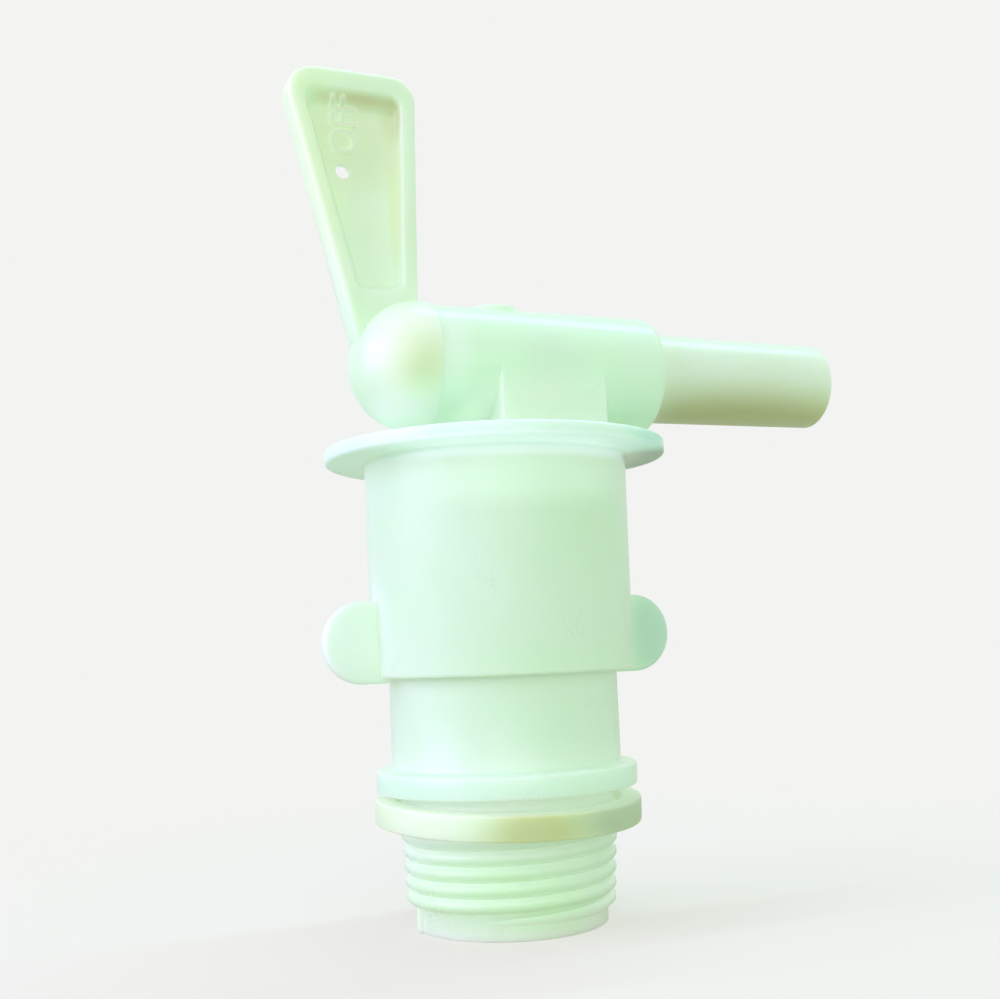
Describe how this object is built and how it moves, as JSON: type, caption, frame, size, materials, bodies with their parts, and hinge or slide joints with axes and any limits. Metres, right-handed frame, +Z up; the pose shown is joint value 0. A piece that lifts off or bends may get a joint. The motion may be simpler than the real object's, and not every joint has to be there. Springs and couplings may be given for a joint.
{
  "type": "bag in box tap",
  "caption": "Moulded plastic tap with a threaded inlet, a flanged neck with side ears, a cross barrel and a turning key that joins the lever and the outlet spout.",
  "frame": {"origin": "centre of the threaded inlet's open end, on the thread's axis", "axes": "+Z up the thread's axis towards the barrel, +X along the barrel towards the spout's open end, the lever stands up at -X with its marked face at -Y"},
  "size_m": [0.0757, 0.0432, 0.1063],
  "materials": {
    "body_plastic": "satin translucent pale mint moulding",
    "key_plastic": "satin translucent pale cream-green moulding",
    "washer_plastic": "smooth matte pale cream-green"
  },
  "bodies": {
    "body": {"tap_body": "body_plastic", "sealing_washer": "washer_plastic"},
    "key": {"tap_key": "key_plastic"}
  },
  "joints": [
    {"name": "key_turn", "type": "hinge", "parent": "body", "child": "key", "pos_m": [0, 0, 0.06901], "axis": [1, 0, 0], "range_deg": [-90, 90]}
  ]
}
